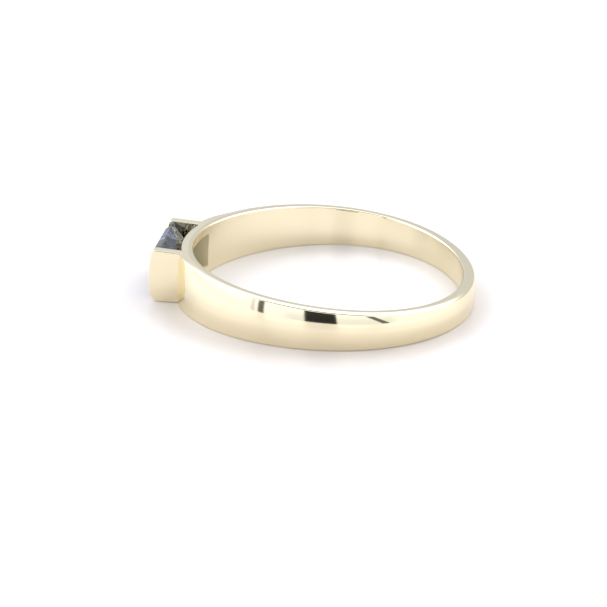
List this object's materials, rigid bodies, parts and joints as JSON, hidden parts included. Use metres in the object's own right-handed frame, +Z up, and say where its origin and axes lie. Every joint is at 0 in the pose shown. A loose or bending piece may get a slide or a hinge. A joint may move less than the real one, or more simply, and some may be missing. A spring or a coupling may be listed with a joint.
{
  "type": "finger ring with a rectangular blue topaz",
  "caption": "Tapered gold finger ring lying on its side, with a rectangular step-cut blue topaz held between two bars at its head.",
  "frame": {"origin": "middle of the ring's outline seen from above, on the plane that the ring lies on", "axes": "+Z up out of the surface that the ring lies on, -X from the middle of the ring towards its head and stone, Y across; the finger hole's axis leans 2.45 degrees from +Z towards +X, because both edge faces slope to make the band widest at the head"},
  "size_m": [0.0202, 0.0188, 0.0034],
  "materials": {
    "gold": "polished",
    "topaz": "polished"
  },
  "bodies": {
    "root": {"band": "gold", "stone": "topaz"}
  },
  "joints": []
}
